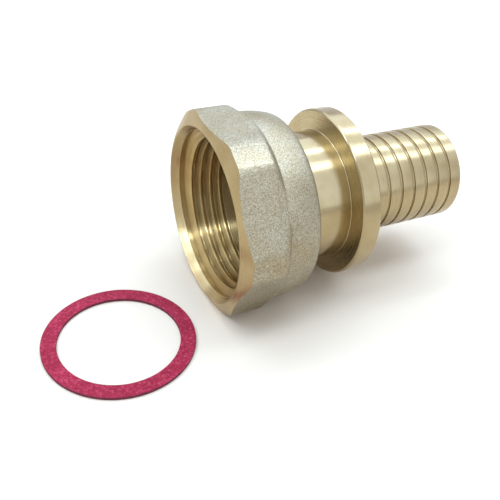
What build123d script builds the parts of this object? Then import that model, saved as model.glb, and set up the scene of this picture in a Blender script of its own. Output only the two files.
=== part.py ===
"""Pipe adapter coupling: a grooved spigot with a captive union nut and its flat gasket.

Millimetres, +Z up. The coupling lies on a flat of its nut, with its axis along X.
The origin is on that axis, in the face of the collar where the pipe stops. The spigot
points along +X, and the mouth of the union nut faces -X.
"""
from build123d import *
import math
import os

# Pipe thread of the nut, one inch parallel
thread_major_dia = 33.25
thread_minor_dia = 30.29
thread_pitch = 2.309
thread_angle = 55.0
thread_turns = 3
thread_end_depth = 10.3

# Union nut, a hot forging with turned ends
nut_across_flats = 38.8
nut_flat_width = 16.4
nut_length = 17.2
hex_length = 10.0
front_face_dia = 36.4
front_face_slope = 28.0
rear_corner_slope = 60.0
skirt_dia = 38.8
skirt_rear_dia = 36.4
skirt_rear_round = 0.8
seam_depth = 0.35
mouth_dia = 36.0
lead_dia = 34.2
lead_depth = 1.9
undercut_oversize = 0.10

# Tailpiece, turned from bar
spigot_dia = 20.9
spigot_length = 26.3
spigot_bore = 16.8
spigot_tip_chamfer = 0.25
tooth_count = 7
tooth_pitch = 3.17
tooth_groove_width = 0.45
tooth_groove_depth = 0.35
tooth_ramp_length = 0.5
tooth_ramp_drop = 0.1
tip_land_length = 2.83
collar_dia = 35.6
collar_thickness = 4.3
collar_edge = 0.4
neck_dia = 27.0
neck_length = 14.3
neck_root_fillet = 0.5
nose_land = 0.9
nose_chamfer = 0.3
nose_bore = 20.4
bore_taper_length = 4.0
bore_taper_end = 0.2

# Split snap ring that keeps the nut on the neck
ring_width = 1.4
ring_height = 2.3
ring_split = 3.0

# Flat gasket, lying beside the nut's mouth
gasket_dia = 30.0
gasket_bore = 23.9
gasket_thickness = 0.7
gasket_ahead = 20.5
gasket_aside = 8.7

# Fits, and the depth of the seal face behind the nut's mouth
seal_depth = 12.4
nut_bore_clearance = 0.35
ring_entry_clearance = 0.2
ring_side_clearance = 0.1
ring_floor_clearance = 0.15
shoulder_clearance = 0.3

collar_front = -collar_thickness
seal_face = collar_front - neck_length
nut_mouth = seal_face - seal_depth
nut_rear = nut_mouth + nut_length
hex_rear = nut_mouth + hex_length
seam_r = nut_across_flats / 2 - seam_depth
floor_level = -nut_across_flats / 2

ring_outer_r = thread_minor_dia / 2 - ring_entry_clearance
ring_inner_r = ring_outer_r - ring_height
ring_groove_r = ring_inner_r - ring_floor_clearance
ring_groove_front = seal_face + nose_land
ring_front = ring_groove_front + ring_side_clearance
ring_rear = ring_front + ring_width
ring_groove_rear = ring_rear + ring_side_clearance
nut_shoulder = ring_rear + shoulder_clearance


def turned(points):
    """Solid of revolution about X from a closed outline of (x, radius) points."""
    outline = make_face(Polyline(*points, close=True))
    return revolve(outline, Axis.X)


def hexagon_block():
    """Forged hexagon with bevelled corners, its two ends turned to cones."""
    flat_r = nut_across_flats / 2
    corner_r = flat_r / math.cos(math.radians(30))
    side = 2 * flat_r * math.tan(math.radians(30))
    bevel_r = corner_r - (side - nut_flat_width) / 4
    flats = RegularPolygon(flat_r, 6, major_radius=False)
    bevels = RegularPolygon(bevel_r, 6, major_radius=False, rotation=30)
    section = Plane.YZ * (flats & bevels)
    block = Pos(nut_mouth, 0, 0) * extrude(section, hex_length)
    face_r = front_face_dia / 2
    front_setback = (corner_r - face_r) * math.tan(math.radians(front_face_slope))
    rear_setback = (corner_r - seam_r) / math.tan(math.radians(rear_corner_slope))
    envelope = turned([
        (nut_mouth, 0),
        (nut_mouth, face_r),
        (nut_mouth + front_setback, corner_r),
        (hex_rear - rear_setback, corner_r),
        (hex_rear, seam_r),
        (hex_rear, 0),
    ])
    return block & envelope


def nut_skirt():
    """Round skirt behind the hexagon, crowned behind its seam and drawn in to the rear."""
    skirt_r = skirt_dia / 2
    rear_r = skirt_rear_dia / 2
    crown = hex_rear + seam_depth
    outline = Polyline(
        (nut_rear, rear_r),
        (nut_rear, 0),
        (hex_rear, 0),
        (hex_rear, seam_r),
        (crown, skirt_r),
    )
    sweep = TangentArc((crown, skirt_r), (nut_rear, rear_r), tangent=(1, 0))
    skirt = revolve(make_face(outline + sweep), Axis.X)
    rear_edge = skirt.faces().sort_by(Axis.X)[-1].edges()
    return fillet(rear_edge, skirt_rear_round)


def thread_outline(start, end):
    """Points of the thread bore, its turns as closed V grooves between two places on the axis."""
    minor_r = thread_minor_dia / 2
    major_r = thread_major_dia / 2
    half_groove = (major_r - minor_r) * math.tan(math.radians(thread_angle / 2))
    first = (start + end) / 2 - (thread_turns - 1) * thread_pitch / 2
    points = [(start, minor_r)]
    for turn in range(thread_turns):
        root = first + turn * thread_pitch
        points += [
            (root - half_groove, minor_r),
            (root, major_r),
            (root + half_groove, minor_r),
        ]
    points.append((end, minor_r))
    return points


def nut_bore():
    """Room inside the nut: lead-in, threaded bore, undercut, shoulder and neck hole."""
    lead_r = lead_dia / 2
    undercut_r = thread_major_dia / 2 + undercut_oversize
    neck_hole_r = neck_dia / 2 + nut_bore_clearance
    lead_end = nut_mouth + lead_depth
    thread_start = lead_end + lead_r - thread_minor_dia / 2
    thread_end = nut_mouth + thread_end_depth
    outline = [(nut_mouth, 0), (nut_mouth, mouth_dia / 2), (lead_end, lead_r)]
    outline += thread_outline(thread_start, thread_end)
    outline += [
        (thread_end + undercut_r - thread_minor_dia / 2, undercut_r),
        (nut_shoulder, undercut_r),
        (nut_shoulder, neck_hole_r),
        (nut_rear, neck_hole_r),
        (nut_rear, 0),
    ]
    return turned(outline)


def union_nut():
    return hexagon_block() + nut_skirt() - nut_bore()


def tooth_outline():
    """Points of the sealing teeth from the tip of the spigot to the pipe stop."""
    crest_r = spigot_dia / 2
    ramp_r = crest_r - tooth_ramp_drop
    groove_r = crest_r - tooth_groove_depth
    points = [
        (spigot_length, crest_r - spigot_tip_chamfer),
        (spigot_length - spigot_tip_chamfer, crest_r),
    ]
    for tooth in range(tooth_count):
        groove_tip = spigot_length - tip_land_length - tooth * tooth_pitch
        groove_stop = groove_tip - tooth_groove_width
        points += [
            (groove_tip, crest_r),
            (groove_tip, groove_r),
            (groove_stop, groove_r),
            (groove_stop, ramp_r),
            (groove_stop - tooth_ramp_length, crest_r),
        ]
    points.append((0, crest_r))
    return points


def grooved_tailpiece():
    """Seal nose, ring groove, neck, collar and toothed spigot in one turned piece."""
    neck_r = neck_dia / 2
    collar_r = collar_dia / 2
    nose_bore_r = nose_bore / 2
    spigot_bore_r = spigot_bore / 2
    outline = [(spigot_length, spigot_bore_r)]
    outline += tooth_outline()
    outline += [
        (0, collar_r - collar_edge),
        (-collar_edge, collar_r),
        (collar_front + collar_edge, collar_r),
        (collar_front, collar_r - collar_edge),
        (collar_front, neck_r),
        (ring_groove_rear, neck_r),
        (ring_groove_rear, ring_groove_r),
        (ring_groove_front, ring_groove_r),
        (ring_groove_front, neck_r),
        (seal_face + nose_chamfer, neck_r),
        (seal_face, neck_r - nose_chamfer),
        (seal_face, nose_bore_r),
        (bore_taper_end - bore_taper_length, nose_bore_r),
        (bore_taper_end, spigot_bore_r),
    ]
    body = turned(outline)
    neck_root = [
        edge for edge in body.edges().filter_by(GeomType.CIRCLE)
        if abs(edge.center().X - collar_front) < 1e-3 and abs(edge.radius - neck_r) < 1e-3
    ]
    return fillet(neck_root, neck_root_fillet)


def snap_ring():
    """Flat split ring, open at the top, lying in the groove of the neck."""
    ring = Circle(ring_outer_r) - Circle(ring_inner_r)
    opening = Pos(0, ring_outer_r) * Rectangle(ring_split, ring_outer_r)
    section = Plane.YZ * (ring - opening)
    return Pos(ring_front, 0, 0) * extrude(section, ring_width)


def flat_gasket():
    """Fibre gasket lying flat on the floor in front of the nut."""
    washer = Circle(gasket_dia / 2) - Circle(gasket_bore / 2)
    place = Pos(nut_mouth - gasket_ahead, -gasket_aside, floor_level)
    return place * extrude(washer, gasket_thickness)


os.makedirs("parts", exist_ok=True)
export_step(union_nut(), "parts/union_nut.step")
export_step(grooved_tailpiece(), "parts/grooved_tailpiece.step")
export_step(snap_ring(), "parts/snap_ring.step")
export_step(flat_gasket(), "parts/flat_gasket.step")
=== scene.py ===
# %% [markdown]
# # A brass pipe adapter coupling
#
# The coupling has a turned tailpiece, a captive union nut, a hidden snap ring and a loose
# gasket. The CAD frame holds their plain solids. Here the nut, the tailpiece and the gasket
# are modelled again with the detail that the eye expects: a forged hexagon with soft edges,
# a real pipe thread, lathe-turned edges and punched fibre.

# %% Load the CAD frame
import math

import bpy
from mathutils import Matrix, Vector


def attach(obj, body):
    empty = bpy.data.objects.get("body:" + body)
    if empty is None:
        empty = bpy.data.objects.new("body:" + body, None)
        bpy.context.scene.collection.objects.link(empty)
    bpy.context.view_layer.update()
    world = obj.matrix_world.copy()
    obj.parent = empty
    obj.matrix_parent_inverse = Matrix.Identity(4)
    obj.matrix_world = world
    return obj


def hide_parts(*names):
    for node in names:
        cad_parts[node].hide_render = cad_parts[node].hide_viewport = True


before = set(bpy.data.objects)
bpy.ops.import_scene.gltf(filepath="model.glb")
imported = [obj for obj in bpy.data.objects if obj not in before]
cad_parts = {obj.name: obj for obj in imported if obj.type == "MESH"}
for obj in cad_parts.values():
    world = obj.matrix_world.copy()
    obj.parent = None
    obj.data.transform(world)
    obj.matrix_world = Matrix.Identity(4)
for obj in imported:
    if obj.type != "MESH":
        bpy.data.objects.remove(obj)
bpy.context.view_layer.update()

# %% [markdown]
# ## Sizes
#
# Blender works in metres and a fitter thinks in millimetres, so every size below is written
# in millimetres times one factor. The axis of the coupling is the X axis. The pipe stops
# at x = 0, the spigot points to +X and the mouth of the nut faces -X.

# %% Sizes of the coupling
mm = 0.001

thread_major_r = 16.625 * mm
thread_minor_r = 15.145 * mm
thread_pitch = 2.309 * mm

nut_mouth = -31.0 * mm
nut_rear = -13.8 * mm
hex_rear = -21.0 * mm
nut_shoulder = -15.9 * mm
flat_r = 19.4 * mm
flat_width = 16.4 * mm
front_face_r = 18.2 * mm
front_slope = math.radians(28.0)
rear_slope = math.radians(60.0)
skirt_r = 19.4 * mm
skirt_rear_r = 18.2 * mm
seam_depth = 0.35 * mm
mouth_r = 18.0 * mm
lead_r = 17.1 * mm
relief_r = 17.35 * mm
thread_end_depth = 10.3 * mm
undercut_r = 16.725 * mm
neck_hole_r = 13.85 * mm

neck_r = 13.5 * mm
seal_face = -18.6 * mm
collar_front = -4.3 * mm
collar_r = 17.8 * mm
spigot_r = 10.45 * mm
spigot_length = 26.3 * mm
spigot_bore_r = 8.4 * mm
nose_bore_r = 10.2 * mm
floor_level = -19.4 * mm

print("nut length", round((nut_rear - nut_mouth) / mm, 2), "mm, tailpiece",
      round((spigot_length - seal_face) / mm, 2), "mm")

# %% [markdown]
# ## The camera
#
# The photograph was taken from above and in front of the nut's mouth, quite close, so the
# nut looks large and the spigot tapers away. The angles come from fitting circles of the
# coupling to the picture. A camera looks along its own -Z axis, so the matrix is built from
# the direction back to the camera, and the small roll is a turn about that direction.

# %% Camera
camera_azimuth = math.radians(-28.25)
camera_elevation = math.radians(36.22)
camera_roll = math.radians(-4.54)
camera_distance = 143.4 * mm
camera_target = Vector((-19.44, 0.0, -11.49)) * mm
focal_pixels = 660.0
frame_pixels = 500.0
sensor_width = 36.0

back = Vector((
    math.sin(camera_azimuth) * math.cos(camera_elevation),
    -math.cos(camera_azimuth) * math.cos(camera_elevation),
    math.sin(camera_elevation),
))
level_right = Vector((0, 0, 1)).cross(back).normalized()
level_up = back.cross(level_right)
right = level_right * math.cos(camera_roll) - level_up * math.sin(camera_roll)
up = level_up * math.cos(camera_roll) + level_right * math.sin(camera_roll)

bpy.ops.object.select_all(action="DESELECT")
bpy.ops.object.camera_add()
camera = bpy.context.object
camera.name = "photo_camera"
camera.data.sensor_width = sensor_width
camera.data.lens = sensor_width * focal_pixels / frame_pixels
camera.data.clip_start = 0.01
camera_turn = Matrix((right, up, back)).transposed().to_4x4()
camera.matrix_world = Matrix.Translation(camera_target + back * camera_distance) @ camera_turn
bpy.context.scene.camera = camera
print("camera at", [round(c / mm, 1) for c in camera.matrix_world.translation], "mm")

# %% [markdown]
# ## Hand tools
#
# Most of this object is turned on a lathe, so most of it starts as one vertex. The vertex is
# extruded from corner to corner of half the outline, and the outline is spun round the X axis.
# That is how a turned part is drawn by hand, and the outline can be read off a drawing.

# %% Helpers for turned pieces
round_steps = 192
weld_distance = 0.0005 * mm


def clear_selection():
    """Leave edit mode and deselect everything."""
    if bpy.context.mode != "OBJECT":
        bpy.ops.object.mode_set(mode="OBJECT")
    bpy.ops.object.select_all(action="DESELECT")


def take(piece):
    """Select one piece and make it the active object."""
    clear_selection()
    piece.select_set(True)
    bpy.context.view_layer.objects.active = piece


def draw_outline(name, corners):
    """Extrude one vertex through the corners (x, radius) of half an outline."""
    clear_selection()
    bpy.ops.mesh.primitive_plane_add(size=mm)
    piece = bpy.context.object
    piece.name = name
    piece.data.name = name
    bpy.ops.object.mode_set(mode="EDIT")
    bpy.ops.mesh.merge(type="CENTER")
    x, r = corners[0]
    bpy.ops.transform.translate(value=(x, r, 0))
    for next_x, next_r in corners[1:]:
        bpy.ops.mesh.extrude_region_move(TRANSFORM_OT_translate={"value": (next_x - x, next_r - r, 0)})
        x, r = next_x, next_r
    bpy.ops.object.mode_set(mode="OBJECT")
    return piece


def spin_outline(piece):
    """Spin an outline round the X axis, merge its seam and face it outwards."""
    take(piece)
    bpy.ops.object.mode_set(mode="EDIT")
    bpy.ops.mesh.select_all(action="SELECT")
    bpy.ops.mesh.spin(steps=round_steps, angle=2 * math.pi, center=(0, 0, 0), axis=(1, 0, 0))
    bpy.ops.mesh.select_all(action="SELECT")
    bpy.ops.mesh.remove_doubles(threshold=weld_distance)
    bpy.ops.mesh.normals_make_consistent(inside=False)
    bpy.ops.object.mode_set(mode="OBJECT")
    return piece


def apply_modifier(piece, kind, **settings):
    """Add a modifier, set its values and apply it."""
    take(piece)
    modifier = piece.modifiers.new(kind.lower(), kind)
    for key, value in settings.items():
        setattr(modifier, key, value)
    bpy.ops.object.modifier_apply(modifier=modifier.name)


def cut_with(piece, tool, operation):
    """Apply a boolean with a tool piece, then throw the tool away."""
    apply_modifier(
        piece, "BOOLEAN", operation=operation, solver="EXACT", material_mode="TRANSFER", object=tool,
    )
    bpy.data.objects.remove(tool)


def count(piece):
    """Print how many faces a piece has."""
    print(piece.name, "faces", len(piece.data.polygons))


# %% [markdown]
# ## Materials: small helpers
#
# Colours are written as the hex values that a paint program shows. The shader wants linear
# light, so one function converts them. Another adds one node with its values and links,
# which keeps each material a short list that reads like the node editor.

# %% Helpers for materials
def tint(code):
    """Turn an sRGB hex colour into linear RGBA."""
    channels = [int(code[i:i + 2], 16) / 255 for i in (1, 3, 5)]
    return [((c + 0.055) / 1.055) ** 2.4 if c > 0.04045 else c / 12.92 for c in channels] + [1.0]


def new_finish(name):
    """Make an empty material and return it with its Principled shader."""
    finish = bpy.data.materials.new(name)
    finish.use_nodes = True
    return finish, finish.node_tree.nodes["Principled BSDF"]


def add_node(finish, kind, values=None, links=None):
    """Add a node, set its properties and sockets, and link its inputs."""
    node = finish.node_tree.nodes.new(kind)
    for key, value in (values or {}).items():
        if isinstance(key, str) and hasattr(node, key):
            setattr(node, key, value)
        else:
            node.inputs[key].default_value = value
    for key, source in (links or {}).items():
        finish.node_tree.links.new(source, node.inputs[key])
    return node


def set_ramp(node, stops):
    """Give a colour ramp its stops (place, hex colour)."""
    for i, (place, code) in enumerate(stops):
        stop = node.color_ramp.elements[i] if i < 2 else node.color_ramp.elements.new(place)
        stop.position = place
        stop.color = tint(code)


# %% [markdown]
# ## Shot-blasted forged brass
#
# The nut is pressed hot in a die and then blasted with steel shot to clean off the scale.
# The blasting leaves a skin of tiny dents, so the brass looks pale and silvery, with a salt
# and pepper grain about a quarter of a millimetre wide. Noise at that size drives the bump
# and the tone. The dents show most on the flats, and the bevelled corners are rubbed bright:
# the cosine of six times the angle of the normal is 1 on a bevel and -1 on a flat.

# %% Material of the forged skin
grain_size = 0.26 * mm
dent_depth = 0.05 * mm
patch_size = 5.0 * mm

blasted_brass, shader = new_finish("shot_blasted_forged_brass")
place = add_node(blasted_brass, "ShaderNodeTexCoord").outputs["Object"]
grain = add_node(blasted_brass, "ShaderNodeTexNoise",
                 {"Scale": 1 / grain_size, "Detail": 2.0, "Roughness": 0.6}, {"Vector": place})
patches = add_node(blasted_brass, "ShaderNodeTexNoise",
                   {"Scale": 1 / patch_size, "Detail": 3.0}, {"Vector": place})
grain_tone = add_node(blasted_brass, "ShaderNodeValToRGB", None, {"Fac": grain.outputs["Fac"]})
set_ramp(grain_tone, [(0.32, "#837A67"), (0.50, "#9E9580"), (0.68, "#B6AE9B")])
patch_tone = add_node(blasted_brass, "ShaderNodeValToRGB", None, {"Fac": patches.outputs["Fac"]})
set_ramp(patch_tone, [(0.35, "#F6F0E4"), (0.65, "#FFFFFF")])
skin_tone = add_node(blasted_brass, "ShaderNodeMix",
                     {"data_type": "RGBA", "blend_type": "MULTIPLY", 0: 1.0},
                     {6: grain_tone.outputs["Color"], 7: patch_tone.outputs["Color"]})
facing_way = add_node(blasted_brass, "ShaderNodeTexCoord").outputs["Normal"]
way = add_node(blasted_brass, "ShaderNodeSeparateXYZ", None, {"Vector": facing_way})
turn = add_node(blasted_brass, "ShaderNodeMath", {"operation": "ARCTAN2"},
                {0: way.outputs["Z"], 1: way.outputs["Y"]})
six_turns = add_node(blasted_brass, "ShaderNodeMath", {"operation": "MULTIPLY", 1: 6.0},
                     {0: turn.outputs["Value"]})
on_bevel = add_node(blasted_brass, "ShaderNodeMath", {"operation": "COSINE"},
                    {0: six_turns.outputs["Value"]})
spot = add_node(blasted_brass, "ShaderNodeSeparateXYZ", None, {"Vector": place})
before_seam = add_node(blasted_brass, "ShaderNodeMath", {"operation": "LESS_THAN", 1: hex_rear},
                       {0: spot.outputs["X"]})
rubbed = add_node(blasted_brass, "ShaderNodeMapRange", {"From Min": 0.0, "From Max": 0.9},
                  {"Value": on_bevel.outputs["Value"], "To Max": before_seam.outputs["Value"]})
flat_depth = add_node(blasted_brass, "ShaderNodeMapRange", {"To Min": 0.6, "To Max": 2.4},
                      {"Value": before_seam.outputs["Value"]})
depth = add_node(blasted_brass, "ShaderNodeMapRange", {"To Max": 0.12},
                 {"Value": rubbed.outputs["Result"], "To Min": flat_depth.outputs["Result"]})
polish = add_node(blasted_brass, "ShaderNodeMapRange", {"To Min": 0.44, "To Max": 0.30},
                  {"Value": rubbed.outputs["Result"]})
dents = add_node(blasted_brass, "ShaderNodeBump", {"Distance": dent_depth},
                 {"Height": grain.outputs["Fac"], "Strength": depth.outputs["Result"]})
shader.inputs["Metallic"].default_value = 1.0
blasted_brass.node_tree.links.new(polish.outputs["Result"], shader.inputs["Roughness"])
blasted_brass.node_tree.links.new(skin_tone.outputs[2], shader.inputs["Base Color"])
blasted_brass.node_tree.links.new(dents.outputs["Normal"], shader.inputs["Normal"])
print("grain scale", round(1 / grain_size))

# %% [markdown]
# ## Turned brass
#
# The mouth, the thread and the front cone of the nut are cut on a lathe after forging. Cut
# brass is warmer and glossier than the blasted skin. The tool leaves rings, and their spacing
# is the feed of the lathe, about a tenth of a millimetre. That is too fine for this picture,
# so the rings are drawn three times as coarse. Adding the radius to x gives rings on
# cylinders and on faces alike. Grooves smear a highlight across themselves, which the
# anisotropy gives. A bored wall smears most and a faced collar least. The neck has the
# lowest roughness, so it mirrors best.

# %% Materials of the turned surfaces
ring_spacing = 0.34 * mm
stain_size = 6.0 * mm


def turned_finish(name, dark, light, roughness, ring_depth, smear):
    """Brass with lathe rings round the X axis."""
    finish, shader = new_finish(name)
    place = add_node(finish, "ShaderNodeTexCoord").outputs["Object"]
    split = add_node(finish, "ShaderNodeSeparateXYZ", None, {"Vector": place})
    radial = add_node(finish, "ShaderNodeVectorMath", {"operation": "MULTIPLY", 1: (0, 1, 1)},
                      {0: place})
    radius = add_node(finish, "ShaderNodeVectorMath", {"operation": "LENGTH"},
                      {0: radial.outputs["Vector"]})
    along = add_node(finish, "ShaderNodeMath", {"operation": "ADD"},
                     {0: split.outputs["X"], 1: radius.outputs["Value"]})
    rings = add_node(finish, "ShaderNodeTexNoise",
                     {"noise_dimensions": "1D", "Scale": 1 / ring_spacing, "Detail": 2.0, "Roughness": 0.7},
                     {"W": along.outputs["Value"]})
    stains = add_node(finish, "ShaderNodeTexNoise", {"Scale": 1 / stain_size, "Detail": 3.0},
                      {"Vector": place})
    tone = add_node(finish, "ShaderNodeValToRGB", None, {"Fac": stains.outputs["Fac"]})
    set_ramp(tone, [(0.3, dark), (0.7, light)])
    gloss = add_node(finish, "ShaderNodeMapRange",
                     {"From Min": 0.3, "From Max": 0.7,
                      "To Min": roughness * 0.75, "To Max": roughness * 1.25},
                     {"Value": rings.outputs["Fac"]})
    marks = add_node(finish, "ShaderNodeBump", {"Strength": 0.3, "Distance": ring_depth},
                     {"Height": rings.outputs["Fac"]})
    around = add_node(finish, "ShaderNodeVectorMath", {"operation": "CROSS_PRODUCT", 1: (1, 0, 0)},
                      {0: place})
    groove_way = add_node(finish, "ShaderNodeVectorTransform",
                          {"convert_from": "OBJECT", "convert_to": "WORLD"},
                          {"Vector": around.outputs["Vector"]})
    shader.inputs["Metallic"].default_value = 1.0
    shader.inputs["Anisotropic"].default_value = smear
    shader.inputs["Anisotropic Rotation"].default_value = 0.25
    finish.node_tree.links.new(groove_way.outputs["Vector"], shader.inputs["Tangent"])
    finish.node_tree.links.new(tone.outputs["Color"], shader.inputs["Base Color"])
    finish.node_tree.links.new(gloss.outputs["Result"], shader.inputs["Roughness"])
    finish.node_tree.links.new(marks.outputs["Normal"], shader.inputs["Normal"])
    return finish


cut_brass = turned_finish("faced_nut_brass", "#A58D63", "#B49F76", 0.34, 0.015 * mm, 0.5)
bored_brass = turned_finish("bored_nut_brass", "#AB8F5C", "#BBA270", 0.36, 0.012 * mm, 1.0)
bright_brass = turned_finish("bright_turned_brass", "#A18E69", "#B1A07D", 0.19, 0.010 * mm, 0.45)
# The faced copy is painted a little lighter than the bright brass: painted light that lifts the darker
# reflection in faces across the axis.
faced_brass_painted_lighter = turned_finish("faced_collar_brass_painted_lighter", "#AE9B74", "#BDAB86", 0.30, 0.006 * mm, 0.2)
spigot_brass = turned_finish("toothed_spigot_brass", "#A18E69", "#B1A07D", 0.25, 0.022 * mm, 0.6)
print("ring scale", round(1 / ring_spacing))

# %% [markdown]
# ## The forging of the nut
#
# The real nut starts as a hot pressing: a hexagon with bevelled corners, a cone behind the
# corners and a round skirt. A six-sided cylinder gives the hexagon, bevelled long edges give
# the corners, and two spun bodies trim the rear and add the skirt. A die can't press a sharp
# edge, so the whole is softened afterwards.

# %% Hexagon bar with bevelled corners
corner_r = flat_r / math.cos(math.radians(30))
side = 2 * flat_r * math.tan(math.radians(30))
bar_front = nut_mouth - mm

clear_selection()
bpy.ops.mesh.primitive_cylinder_add(
    vertices=6,
    radius=corner_r,
    depth=hex_rear - bar_front,
    location=((hex_rear + bar_front) / 2, 0, 0),
    rotation=(0, math.pi / 2, 0),
)
nut = bpy.context.object
nut.name = "nut_forging"
bpy.ops.object.transform_apply(location=True, rotation=True, scale=True)
bpy.ops.object.mode_set(mode="EDIT")
bpy.ops.mesh.select_mode(type="EDGE")
bpy.ops.mesh.select_all(action="DESELECT")
bpy.ops.object.mode_set(mode="OBJECT")
for edge in nut.data.edges:
    start, end = (nut.data.vertices[i].co for i in edge.vertices)
    edge.select = abs(end.x - start.x) > 1 * mm
bpy.ops.object.mode_set(mode="EDIT")
bpy.ops.mesh.bevel(offset=(side - flat_width) / 2, segments=1)
bpy.ops.mesh.select_mode(type="VERT")
bpy.ops.object.mode_set(mode="OBJECT")
nut.data.materials.append(blasted_brass)
count(nut)

# %% Rear cone and skirt of the forging
seam_r = flat_r - seam_depth
rear_setback = (corner_r - seam_r) / math.tan(rear_slope)
rear_cone = spin_outline(draw_outline("rear_cone", [
    (bar_front - mm, 0),
    (bar_front - mm, corner_r + mm),
    (hex_rear - rear_setback, corner_r + mm),
    (hex_rear - rear_setback, corner_r),
    (hex_rear, seam_r),
    (hex_rear, 0),
]))
cut_with(nut, rear_cone, "INTERSECT")

skirt_lap = 3.0 * mm
barrel_steps = 12
crown = hex_rear + seam_depth
barrel_drop = skirt_r - skirt_rear_r
barrel_r = ((nut_rear - crown) ** 2 + barrel_drop ** 2) / (2 * barrel_drop)
barrel = []
for i in range(barrel_steps + 1):
    x = crown + (nut_rear - crown) * i / barrel_steps
    barrel.append((x, skirt_r - barrel_r + math.sqrt(barrel_r ** 2 - (x - crown) ** 2)))
skirt = spin_outline(draw_outline("skirt", [
    (hex_rear - skirt_lap, 0),
    (hex_rear - skirt_lap, seam_r),
    (hex_rear, seam_r),
    *barrel,
    (nut_rear, 0),
]))
cut_with(nut, skirt, "UNION")
count(nut)

# %% [markdown]
# ## Soft edges
#
# Hot metal fills the corners of a die with a small round. Remeshing in small voxels gives an
# even mesh, and the Smooth modifier then rounds every edge and corner by about the same
# amount, as the die does.

# %% Soft forged edges
voxel = 0.24 * mm

apply_modifier(nut, "REMESH", mode="VOXEL", voxel_size=voxel, adaptivity=0.0)
apply_modifier(nut, "SMOOTH", factor=0.5, iterations=80)
count(nut)

# %% [markdown]
# ## The seam
#
# A crease runs round the nut where the hexagon meets the skirt. A spun wedge cuts it after the
# first softening, so that it stays narrow, and a second, lighter softening takes its edge off.

# %% Seam between hexagon and skirt
seam_half_width = 0.6 * mm
seam_rise = 0.6 * mm
seam_bite = 0.2 * mm

seam = spin_outline(draw_outline("seam_tool", [
    (hex_rear - seam_half_width, flat_r + seam_rise),
    (hex_rear, seam_r - seam_bite),
    (hex_rear + seam_half_width, flat_r + seam_rise),
    (hex_rear - seam_half_width, flat_r + seam_rise),
]))
seam.data.materials.append(blasted_brass)
cut_with(nut, seam, "DIFFERENCE")
apply_modifier(nut, "REMESH", mode="VOXEL", voxel_size=voxel, adaptivity=0.0)
apply_modifier(nut, "SMOOTH", factor=0.5, iterations=12)
count(nut)

# %% [markdown]
# ## Machining the nut
#
# The forging then goes on a lathe. A boolean with a spun tool does the same in Blender: one
# tool faces the front to a shallow cone, one opens the lead-in, and one bores the relief
# groove, the thread's bore, the undercut and the neck hole. Each tool carries the finish that
# it leaves, and the boolean hands it to the faces that it cuts.

# %% Facing
past_corners = 24.0 * mm

facing = spin_outline(draw_outline("facing_tool", [
    (nut_mouth, 0),
    (nut_mouth, front_face_r),
    (nut_mouth + (past_corners - front_face_r) * math.tan(front_slope), past_corners),
    (nut_rear + 2 * mm, past_corners),
    (nut_rear + 2 * mm, 0),
]))
facing.data.materials.append(cut_brass)
cut_with(nut, facing, "INTERSECT")
count(nut)

# %% Lead-in and bores
lead_depth = 1.7 * mm
lead_centre_depth = 2.4 * mm
entry_gap = 0.3 * mm
entry_depth = 1.6 * mm
relief_start = 1.8 * mm
relief_end = 2.7 * mm
chamfer_start = 3.4 * mm
chamfer_height = 0.5 * mm
thread_start_depth = 3.8 * mm
rear_break = 0.3 * mm
rear_overrun = 0.7 * mm

thread_end = nut_mouth + thread_end_depth
lead_in = spin_outline(draw_outline("lead_in_tool", [
    (nut_mouth - mm, 0),
    (nut_mouth - mm, mouth_r),
    (nut_mouth, mouth_r),
    (nut_mouth + lead_depth, lead_r),
    (nut_mouth + lead_centre_depth, 0),
]))
lead_in.data.materials.append(cut_brass)
cut_with(nut, lead_in, "DIFFERENCE")

boring = spin_outline(draw_outline("boring_tool", [
    (nut_mouth - mm, 0),
    (nut_mouth - mm, lead_r - entry_gap),
    (nut_mouth + entry_depth, lead_r - entry_gap),
    (nut_mouth + relief_start, relief_r),
    (nut_mouth + relief_end, relief_r),
    (nut_mouth + chamfer_start, thread_minor_r + chamfer_height),
    (nut_mouth + thread_start_depth, thread_minor_r),
    (thread_end, thread_minor_r),
    (thread_end + undercut_r - thread_minor_r, undercut_r),
    (nut_shoulder, undercut_r),
    (nut_shoulder, neck_hole_r),
    (nut_rear - rear_break, neck_hole_r),
    (nut_rear + rear_overrun, neck_hole_r + rear_break + rear_overrun),
    (nut_rear + rear_overrun, 0),
]))
boring.data.materials.append(bored_brass)
cut_with(nut, boring, "DIFFERENCE")
count(nut)

# %% [markdown]
# ## The pipe thread
#
# A one-inch parallel pipe thread has eleven turns to the inch and flanks at 55 degrees, with
# rounded roots. The cutter is the section of one groove. The Screw modifier carries it round
# the axis and forward by one pitch a turn, and its ends are filled so that it is a closed
# body. It starts in the open lead-in and runs out in the undercut, as a real tap does.

# %% Thread cutter
half_angle = math.radians(27.5)
crest_lead = math.radians(10)
thread_turns = 5
crest_round = 0.137 * thread_pitch
crest_gap = 0.05 * mm
cutter_start = nut_mouth + 0.2 * mm
cutter_base = thread_minor_r - 0.5 * mm

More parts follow.
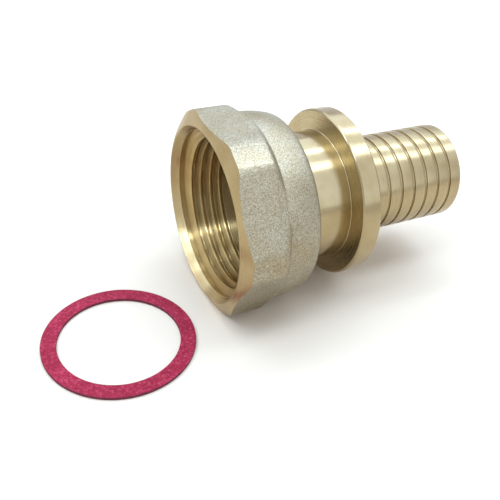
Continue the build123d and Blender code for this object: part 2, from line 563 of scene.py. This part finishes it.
half_groove = [(thread_pitch / 2 - crest_gap, cutter_base)]
for i in range(5):
    turn = crest_lead + (math.pi / 2 - half_angle - crest_lead) * i / 4
    half_groove.append((
        thread_pitch / 2 - crest_round * math.sin(turn),
        thread_minor_r + crest_round * (1 - math.cos(turn)),
    ))
for i in range(4):
    turn = (math.pi / 2 - half_angle) * (4 - i) / 4
    half_groove.append((
        crest_round * math.sin(turn),
        thread_major_r - crest_round * (1 - math.cos(turn)),
    ))
other_half = [(-x, r) for x, r in reversed(half_groove)]
groove = half_groove + [(0, thread_major_r)] + other_half + half_groove[:1]
cutter = draw_outline("thread_cutter", [(cutter_start + x, r) for x, r in groove])
take(cutter)
bpy.ops.object.mode_set(mode="EDIT")
bpy.ops.mesh.select_all(action="SELECT")
bpy.ops.mesh.remove_doubles(threshold=weld_distance)
bpy.ops.object.mode_set(mode="OBJECT")
apply_modifier(
    cutter, "SCREW", axis="X", angle=2 * math.pi, screw_offset=thread_pitch, iterations=thread_turns,
    steps=96, render_steps=96, use_merge_vertices=False,
)
take(cutter)
bpy.ops.object.mode_set(mode="EDIT")
bpy.ops.mesh.select_all(action="SELECT")
bpy.ops.mesh.fill_holes(sides=0)
bpy.ops.mesh.select_all(action="SELECT")
bpy.ops.mesh.normals_make_consistent(inside=False)
bpy.ops.object.mode_set(mode="OBJECT")
cutter.data.materials.append(bored_brass)
cut_with(nut, cutter, "DIFFERENCE")
take(nut)
bpy.ops.object.shade_smooth_by_angle(angle=math.radians(32))
count(nut)

# %% [markdown]
# ## The tailpiece
#
# Neck, collar and toothed spigot are one piece of bar, turned in one go. Its half outline
# runs from the tip of the spigot over the teeth, the collar and the ring groove to the seal
# nose, and back through the water way. Each tooth has a steep side towards the collar and a
# ramp towards the tip, so the pipe slides on and won't come off.

# %% Outline of the tailpiece
tooth_count = 7
tooth_pitch = 3.17 * mm
tooth_groove_width = 0.45 * mm
tooth_groove_depth = 0.35 * mm
tooth_ramp_length = 0.5 * mm
tooth_ramp_drop = 0.1 * mm
tip_land = 2.83 * mm
tip_chamfer = 0.25 * mm
collar_edge = 0.4 * mm
root_fillet = 0.2 * mm
ring_groove_rear = -16.1 * mm
ring_groove_front = -17.7 * mm
ring_groove_r = 12.495 * mm
nose_chamfer = 0.3 * mm
bore_taper_front = -3.8 * mm
bore_taper_rear = 0.2 * mm

outline = [
    (spigot_length, spigot_bore_r),
    (spigot_length, spigot_r - tip_chamfer),
    (spigot_length - tip_chamfer, spigot_r),
]
for tooth in range(tooth_count):
    groove_tip = spigot_length - tip_land - tooth * tooth_pitch
    groove_stop = groove_tip - tooth_groove_width
    outline += [
        (groove_tip, spigot_r),
        (groove_tip, spigot_r - tooth_groove_depth),
        (groove_stop, spigot_r - tooth_groove_depth),
        (groove_stop, spigot_r - tooth_ramp_drop),
        (groove_stop - tooth_ramp_length, spigot_r),
    ]
outline += [
    (0, spigot_r),
    (0, collar_r - collar_edge),
    (-collar_edge, collar_r),
    (collar_front + collar_edge, collar_r),
    (collar_front, collar_r - collar_edge),
    (collar_front, neck_r + root_fillet),
]
for i in range(1, 5):
    turn = math.radians(90 * i / 4)
    outline.append((
        collar_front - root_fillet * (1 - math.cos(turn)),
        neck_r + root_fillet * (1 - math.sin(turn)),
    ))
outline += [
    (ring_groove_rear, neck_r),
    (ring_groove_rear, ring_groove_r),
    (ring_groove_front, ring_groove_r),
    (ring_groove_front, neck_r),
    (seal_face + nose_chamfer, neck_r),
    (seal_face, neck_r - nose_chamfer),
    (seal_face, nose_bore_r),
    (bore_taper_front, nose_bore_r),
    (bore_taper_rear, spigot_bore_r),
    (spigot_length, spigot_bore_r),
]
tailpiece = spin_outline(draw_outline("turned_tailpiece", outline))
count(tailpiece)

# %% [markdown]
# ## Edges and finishes of the tailpiece
#
# A turner breaks every edge with a touch of a file, and the Bevel modifier does the same. The
# weighted normals keep the narrow lands of the spigot straight in the light. Faces across the
# axis get the faced finish, which is painted a little lighter as painted light, the spigot its
# own coarser one, and the rest the bright one.

# %% Broken edges of the tailpiece
broken_edge = 0.09 * mm

apply_modifier(
    tailpiece, "BEVEL", width=broken_edge, segments=2, limit_method="ANGLE",
    angle_limit=math.radians(25), use_clamp_overlap=True, harden_normals=False,
)
take(tailpiece)
bpy.ops.object.shade_smooth_by_angle(angle=math.radians(35))
apply_modifier(tailpiece, "WEIGHTED_NORMAL", mode="FACE_AREA", keep_sharp=True)
tailpiece.data.materials.append(bright_brass)
tailpiece.data.materials.append(faced_brass_painted_lighter)
tailpiece.data.materials.append(spigot_brass)
# Faces across the axis take the faced copy, whose lighter colour is painted light.
for face in tailpiece.data.polygons:
    if abs(face.normal.x) > 0.9:
        face.material_index = 1
    elif face.center.x > 0:
        face.material_index = 2
count(tailpiece)

# %% [markdown]
# ## The gasket
#
# The gasket is punched from a sheet of vulcanised fibre: paper pulp that was dyed crimson,
# soaked and pressed hard. It is matt and faintly mottled with paler specks. Its punched side
# wall is painted darker: partly the cut edge, partly painted shade on the side. It is a flat
# ring, so its half outline is spun as well, about its own centre, and stood on the floor.

# %% Fibre material
fleck_size = 0.5 * mm
cloud_size = 4.0 * mm
weave_depth = 0.03 * mm

fibre, shader = new_finish("vulcanised_fibre_sheet")
place = add_node(fibre, "ShaderNodeTexCoord").outputs["Object"]
flecks = add_node(fibre, "ShaderNodeTexNoise",
                  {"Scale": 1 / fleck_size, "Detail": 3.0, "Roughness": 0.65}, {"Vector": place})
cloud = add_node(fibre, "ShaderNodeTexNoise", {"Scale": 1 / cloud_size, "Detail": 2.0}, {"Vector": place})
fleck_tone = add_node(fibre, "ShaderNodeValToRGB", None, {"Fac": flecks.outputs["Fac"]})
set_ramp(fleck_tone, [(0.30, "#8C1830"), (0.52, "#AE2945"), (0.72, "#C85264")])
cloud_tone = add_node(fibre, "ShaderNodeValToRGB", None, {"Fac": cloud.outputs["Fac"]})
set_ramp(cloud_tone, [(0.3, "#EBD9DD"), (0.7, "#FFFFFF")])
dye = add_node(fibre, "ShaderNodeMix", {"data_type": "RGBA", "blend_type": "MULTIPLY", 0: 1.0},
               {6: fleck_tone.outputs["Color"], 7: cloud_tone.outputs["Color"]})
weave = add_node(fibre, "ShaderNodeBump", {"Strength": 0.4, "Distance": weave_depth},
                 {"Height": flecks.outputs["Fac"]})
shader.inputs["Roughness"].default_value = 0.75
shader.inputs["Specular IOR Level"].default_value = 0.25
fibre.node_tree.links.new(dye.outputs[2], shader.inputs["Base Color"])
fibre.node_tree.links.new(weave.outputs["Normal"], shader.inputs["Normal"])

# The darker side wall colour is partly the cut edge and partly painted shade.
edge_and_shade_fibre, shader = new_finish("punched_edge_and_shade_fibre")
place = add_node(edge_and_shade_fibre, "ShaderNodeTexCoord").outputs["Object"]
streaks = add_node(edge_and_shade_fibre, "ShaderNodeTexNoise", {"Scale": 1 / fleck_size, "Detail": 2.0},
                   {"Vector": place})
edge_and_shade_tone = add_node(edge_and_shade_fibre, "ShaderNodeValToRGB", None, {"Fac": streaks.outputs["Fac"]})
set_ramp(edge_and_shade_tone, [(0.3, "#4A0F20"), (0.7, "#7A2038")])
shader.inputs["Roughness"].default_value = 0.75
edge_and_shade_fibre.node_tree.links.new(edge_and_shade_tone.outputs["Color"], shader.inputs["Base Color"])
print("fleck scale", round(1 / fleck_size))

# %% Gasket ring
gasket_x = nut_mouth - 20.5 * mm
gasket_y = -8.7 * mm
gasket_outer_r = 15.0 * mm
gasket_inner_r = 11.95 * mm
gasket_thickness = 0.7 * mm
punched_round = 0.12 * mm

gasket = draw_outline("fibre_gasket", [
    (0, gasket_inner_r),
    (0, gasket_outer_r),
    (gasket_thickness, gasket_outer_r),
    (gasket_thickness, gasket_inner_r),
    (0, gasket_inner_r),
])
spin_outline(gasket)
apply_modifier(
    gasket, "BEVEL", width=punched_round, segments=3, limit_method="ANGLE", angle_limit=math.radians(40),
)
gasket.rotation_euler = (0, -math.pi / 2, 0)
gasket.location = (gasket_x, gasket_y, floor_level)
take(gasket)
bpy.ops.object.transform_apply(location=True, rotation=True, scale=True)
gasket.data.materials.append(fibre)
gasket.data.materials.append(edge_and_shade_fibre)
# Upright faces take the darker side wall colour, which is partly painted shade.
for face in gasket.data.polygons:
    face.material_index = 1 if abs(face.normal.z) < 0.35 else 0
bpy.ops.object.shade_smooth_by_angle(angle=math.radians(40))
count(gasket)

# %% [markdown]
# ## The snap ring
#
# The split ring inside the nut is spring steel. Its CAD solid already has the right shape,
# so it only gets a finish.

# %% Spring steel
rolled_size = 0.4 * mm

spring_steel, shader = new_finish("spring_steel_strip")
place = add_node(spring_steel, "ShaderNodeTexCoord").outputs["Object"]
rolled = add_node(spring_steel, "ShaderNodeTexNoise", {"Scale": 1 / rolled_size, "Detail": 3.0},
                  {"Vector": place})
steel_tone = add_node(spring_steel, "ShaderNodeValToRGB", None, {"Fac": rolled.outputs["Fac"]})
set_ramp(steel_tone, [(0.3, "#8C8A84"), (0.7, "#A9A7A0")])
shader.inputs["Metallic"].default_value = 1.0
shader.inputs["Roughness"].default_value = 0.34
spring_steel.node_tree.links.new(steel_tone.outputs["Color"], shader.inputs["Base Color"])
ring_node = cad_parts["snap_ring"]
ring_node.data.materials.clear()
ring_node.data.materials.append(spring_steel)
print("snap ring keeps its CAD shape")

# %% [markdown]
# ## Studio
#
# Turned metal is mostly a mirror, so its look is the look of what stands round it. The floor
# is a sheet of paper and the surround is white. The camera and the mirror rays see the
# surround at full strength, and it lights the scene at three tenths of that. The paper is a
# little cream and the lamps are a little blue. Together they render near white, and the brass
# has a warm floor below it and a cool sky above.

# %% Floor and surround
floor_width = 800 * mm

clear_selection()
bpy.ops.mesh.primitive_plane_add(size=floor_width, location=(0, 0, floor_level))
floor = bpy.context.object
floor.name = "studio_floor"
paper, shader = new_finish("white_studio_paper")
shader.inputs["Base Color"].default_value = tint("#F7E5CE")
shader.inputs["Roughness"].default_value = 0.9
shader.inputs["Specular IOR Level"].default_value = 0.1
floor.data.materials.append(paper)

surround = bpy.data.worlds.new("white_surround")
surround.use_nodes = True
bpy.context.scene.world = surround
backdrop = surround.node_tree.nodes["Background"]
rays = add_node(surround, "ShaderNodeLightPath")
seen = add_node(surround, "ShaderNodeMath", {"operation": "MAXIMUM"},
                {0: rays.outputs["Is Camera Ray"], 1: rays.outputs["Is Glossy Ray"]})
seen_too = add_node(surround, "ShaderNodeMath", {"operation": "MAXIMUM"},
                    {0: seen.outputs["Value"], 1: rays.outputs["Is Transmission Ray"]})
level = add_node(surround, "ShaderNodeMapRange", {"To Min": 0.3, "To Max": 1.0},
                 {"Value": seen_too.outputs["Value"]})
surround.node_tree.links.new(level.outputs["Result"], backdrop.inputs["Strength"])
backdrop.inputs["Color"].default_value = tint("#F4F9FF")
print("floor", floor_width / mm, "mm wide, surround", surround.name)

# %% [markdown]
# ## Lamps
#
# A card in front and three softboxes overhead give an even light. Two narrow tubes between
# them draw the two bright bands along the neck and the spigot. The mouth of the nut is a deep
# hole that little of this light reaches, so one more lamp shines into it. Light linking keeps
# that lamp to the nut alone.

# %% Lamps
daylight = tint("#CEE4FF")[:3]


def softbox(name, place, width, depth, brightness, aim=(0, 0, -1)):
    """An area lamp, in millimetres, that shines along the aim. Its power grows with its area."""
    clear_selection()
    turn = Vector(aim).to_track_quat("-Z", "Y").to_euler()
    bpy.ops.object.light_add(type="AREA", location=Vector(place) * mm, rotation=turn)
    lamp = bpy.context.object
    lamp.name = name
    lamp.data.shape = "RECTANGLE"
    lamp.data.size = width * mm
    lamp.data.size_y = depth * mm
    lamp.data.color = daylight
    lamp.data.energy = brightness * math.pi * width * depth * mm * mm
    return lamp


softbox("front_card", (0, -560, 230), 1000, 340, 0.85, (0, 1, 0))
softbox("front_softbox", (0, -340, 400), 1000, 460, 0.8)
softbox("top_softbox", (0, 40, 400), 1000, 300, 1.4)
softbox("rear_softbox", (0, 440, 400), 1000, 500, 1.7)
softbox("front_tube", (0, -67, 380), 1000, 100, 4.2)
softbox("rear_tube", (0, 153, 380), 1000, 60, 6.0)
mouth_light = softbox("mouth_light", (-230, -210, 380), 260, 60, 40.0)
reached = bpy.data.collections.new("reached_by_mouth_light")
reached.objects.link(nut)
mouth_light.light_linking.receiver_collection = reached

scene = bpy.context.scene
scene.view_settings.view_transform = "Standard"

# %% [markdown]
# ## Riding on the frame
#
# Each piece rides on the body that carries it and takes the place of its CAD node, so the
# joints of the frame move the dressed coupling.

# %% Ride and replace
for piece, body, node, slot in (
    (nut, "nut", "union_nut", "nut_brass"),
    (tailpiece, "tailpiece", "grooved_tailpiece", "tailpiece_brass"),
    (gasket, "gasket", "flat_gasket", "gasket_fibre"),
):
    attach(piece, body)
    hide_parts(node)

clear_selection()
